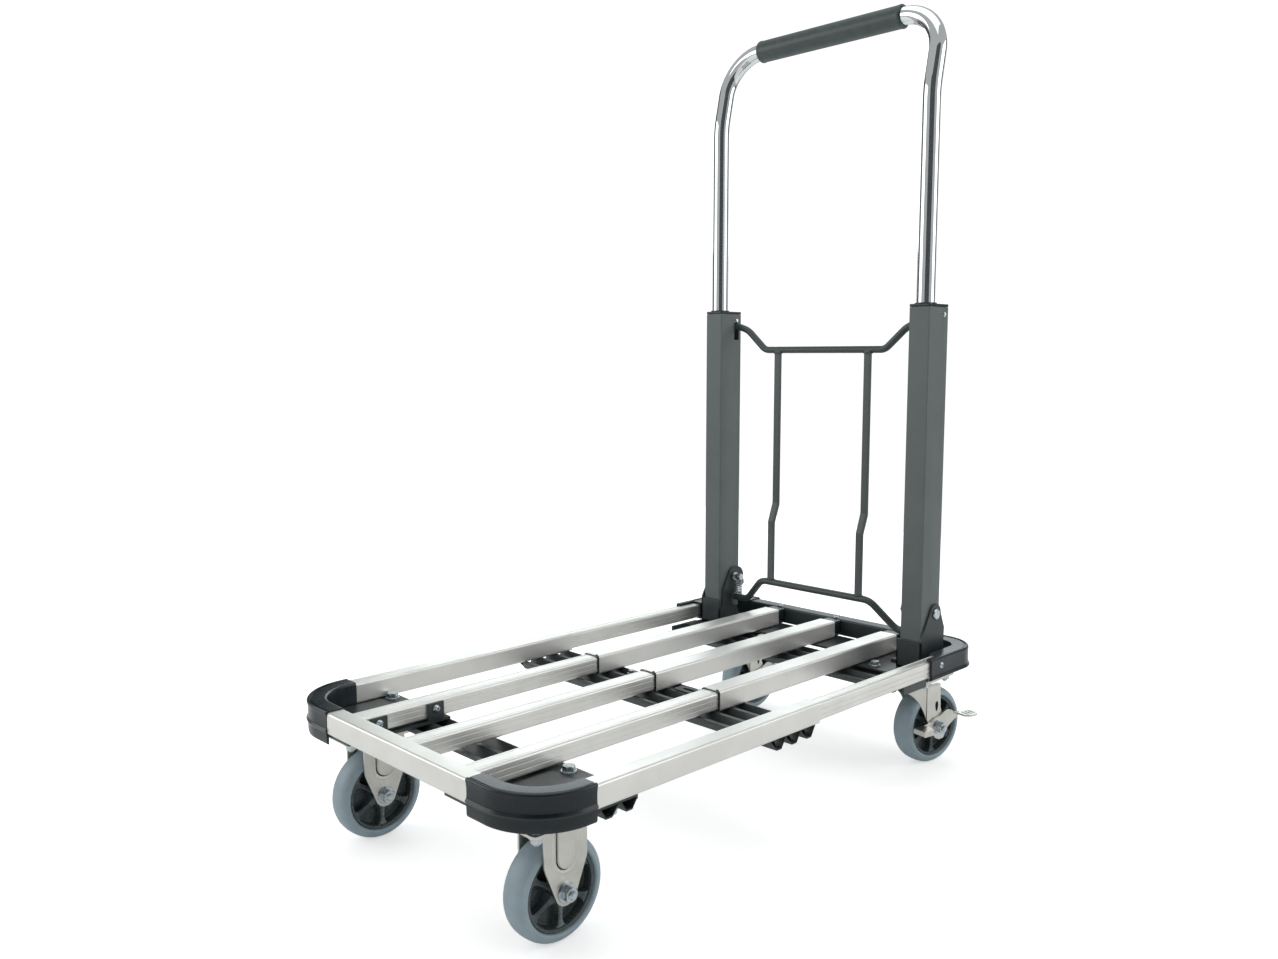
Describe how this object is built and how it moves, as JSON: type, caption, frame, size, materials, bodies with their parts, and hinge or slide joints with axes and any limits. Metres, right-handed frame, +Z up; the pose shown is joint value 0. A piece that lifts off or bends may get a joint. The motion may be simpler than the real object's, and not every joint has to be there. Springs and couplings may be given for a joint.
{
  "type": "folding platform cart",
  "caption": "Folding hand cart with a telescoping tube deck, swivel and fixed casters, rear pedals and a fold-down, height-adjusting handle.",
  "frame": {"origin": "on the ground, under the middle of the overall box", "axes": "+Z up along the handle, +Y from the front beam to the handle, +X to the left of a person who stands behind the handle and looks at the deck"},
  "size_m": [0.4266, 0.7746, 0.9501],
  "materials": {
    "anodised_aluminium": "satin anodised",
    "black_painted_steel": "satin powder coat",
    "grey_painted_steel": "fine satin powder coat",
    "black_plastic": "fine moulded texture",
    "zinc_plated_steel": "zinc plated",
    "chrome_plated_steel": "polished",
    "grey_rubber": "matt",
    "foam_grip": "matt fine grained"
  },
  "bodies": {
    "rear_deck": {"rear_beam": "black_painted_steel", "rear_corner_left": "black_plastic", "rear_corner_right": "black_plastic", "rear_tube_left": "anodised_aluminium", "rear_tube_middle": "anodised_aluminium", "rear_tube_right": "anodised_aluminium", "rear_tube_plug_left": "black_plastic", "rear_tube_plug_middle": "black_plastic", "rear_tube_plug_right": "black_plastic", "rear_side_rail_left": "anodised_aluminium", "rear_side_rail_right": "anodised_aluminium", "mid_crossmember": "black_painted_steel", "rear_crossmember": "black_painted_steel", "rear_floor_plate": "black_painted_steel", "pivot_bracket_left": "black_painted_steel", "pivot_bracket_right": "black_painted_steel", "pivot_pin_left": "zinc_plated_steel", "pivot_pin_right": "zinc_plated_steel", "rear_caster_plate_left": "zinc_plated_steel", "rear_caster_plate_right": "zinc_plated_steel"},
    "front_deck": {"front_beam": "anodised_aluminium", "front_corner_left": "black_plastic", "front_corner_right": "black_plastic", "front_side_rail_left": "anodised_aluminium", "front_side_rail_right": "anodised_aluminium", "front_tube_left": "anodised_aluminium", "front_tube_middle": "anodised_aluminium", "front_tube_right": "anodised_aluminium", "front_crossmember": "black_painted_steel", "front_floor_plate_left": "black_painted_steel", "front_floor_plate_right": "black_painted_steel", "front_fork_left": "zinc_plated_steel", "front_fork_right": "zinc_plated_steel", "front_axle_left": "zinc_plated_steel", "front_axle_right": "zinc_plated_steel"},
    "front_wheel_left": {"front_tyre_left": "grey_rubber", "front_hub_left": "black_plastic"},
    "front_wheel_right": {"front_tyre_right": "grey_rubber", "front_hub_right": "black_plastic"},
    "rear_caster_left": {"rear_fork_left": "zinc_plated_steel", "rear_axle_left": "zinc_plated_steel"},
    "rear_wheel_left": {"rear_tyre_left": "grey_rubber", "rear_hub_left": "black_plastic"},
    "brake_left": {"brake_lever_left": "zinc_plated_steel"},
    "rear_caster_right": {"rear_fork_right": "zinc_plated_steel", "rear_axle_right": "zinc_plated_steel"},
    "rear_wheel_right": {"rear_tyre_right": "grey_rubber", "rear_hub_right": "black_plastic"},
    "brake_right": {"brake_lever_right": "zinc_plated_steel"},
    "handle_posts": {"handle_post_left": "grey_painted_steel", "handle_post_right": "grey_painted_steel", "post_cap_left": "black_plastic", "post_cap_right": "black_plastic", "post_rivet_left": "zinc_plated_steel", "post_rivet_right": "zinc_plated_steel", "return_spring_left": "zinc_plated_steel", "return_spring_right": "zinc_plated_steel"},
    "handle_slide": {"handle_tube": "chrome_plated_steel", "grip": "foam_grip"},
    "release": {"release_frame": "black_painted_steel"}
  },
  "joints": [
    {"name": "deck_slide", "type": "slide", "parent": "rear_deck", "child": "front_deck", "axis": [0, 1, 0], "range_m": [0, 0.185]},
    {"name": "handle_fold", "type": "hinge", "parent": "rear_deck", "child": "handle_posts", "pos_m": [0, 0.28102, 0.205], "axis": [1, 0, 0], "range_deg": [0, 90]},
    {"name": "handle_telescope", "type": "slide", "parent": "handle_posts", "child": "handle_slide", "axis": [0, 0, -1], "range_m": [0, 0.22]},
    {"name": "release_pull", "type": "slide", "parent": "handle_posts", "child": "release", "axis": [0, 0, -1], "range_m": [0, 0.014], "stiffness_N_per_m": 600, "springref_m": -0.012, "deforming": ["return_spring_left", "return_spring_right"]},
    {"name": "front_wheel_spin_left", "type": "hinge", "parent": "front_deck", "child": "front_wheel_left", "pos_m": [-0.1507, -0.31298, 0.05], "axis": [1, 0, 0], "continuous": true},
    {"name": "front_wheel_spin_right", "type": "hinge", "parent": "front_deck", "child": "front_wheel_right", "pos_m": [0.1507, -0.31298, 0.05], "axis": [1, 0, 0], "continuous": true},
    {"name": "caster_swivel_left", "type": "hinge", "parent": "rear_deck", "child": "rear_caster_left", "pos_m": [-0.147, 0.28902, 0.107], "axis": [0, 0, 1], "continuous": true},
    {"name": "rear_wheel_spin_left", "type": "hinge", "parent": "rear_caster_left", "child": "rear_wheel_left", "pos_m": [-0.14602, 0.317, 0.05], "axis": [0.9994, -0.0349, 0], "continuous": true},
    {"name": "brake_rock_left", "type": "hinge", "parent": "rear_caster_left", "child": "brake_left", "pos_m": [-0.14602, 0.317, 0.05], "axis": [0.9994, -0.0349, 0], "range_deg": [-8, 8]},
    {"name": "caster_swivel_right", "type": "hinge", "parent": "rear_deck", "child": "rear_caster_right", "pos_m": [0.147, 0.28902, 0.107], "axis": [0, 0, 1], "continuous": true},
    {"name": "rear_wheel_spin_right", "type": "hinge", "parent": "rear_caster_right", "child": "rear_wheel_right", "pos_m": [0.1522, 0.31653, 0.05], "axis": [0.9826, -0.1857, 0], "continuous": true},
    {"name": "brake_rock_right", "type": "hinge", "parent": "rear_caster_right", "child": "brake_right", "pos_m": [0.1522, 0.31653, 0.05], "axis": [0.9826, -0.1857, 0], "range_deg": [-8, 8]}
  ]
}
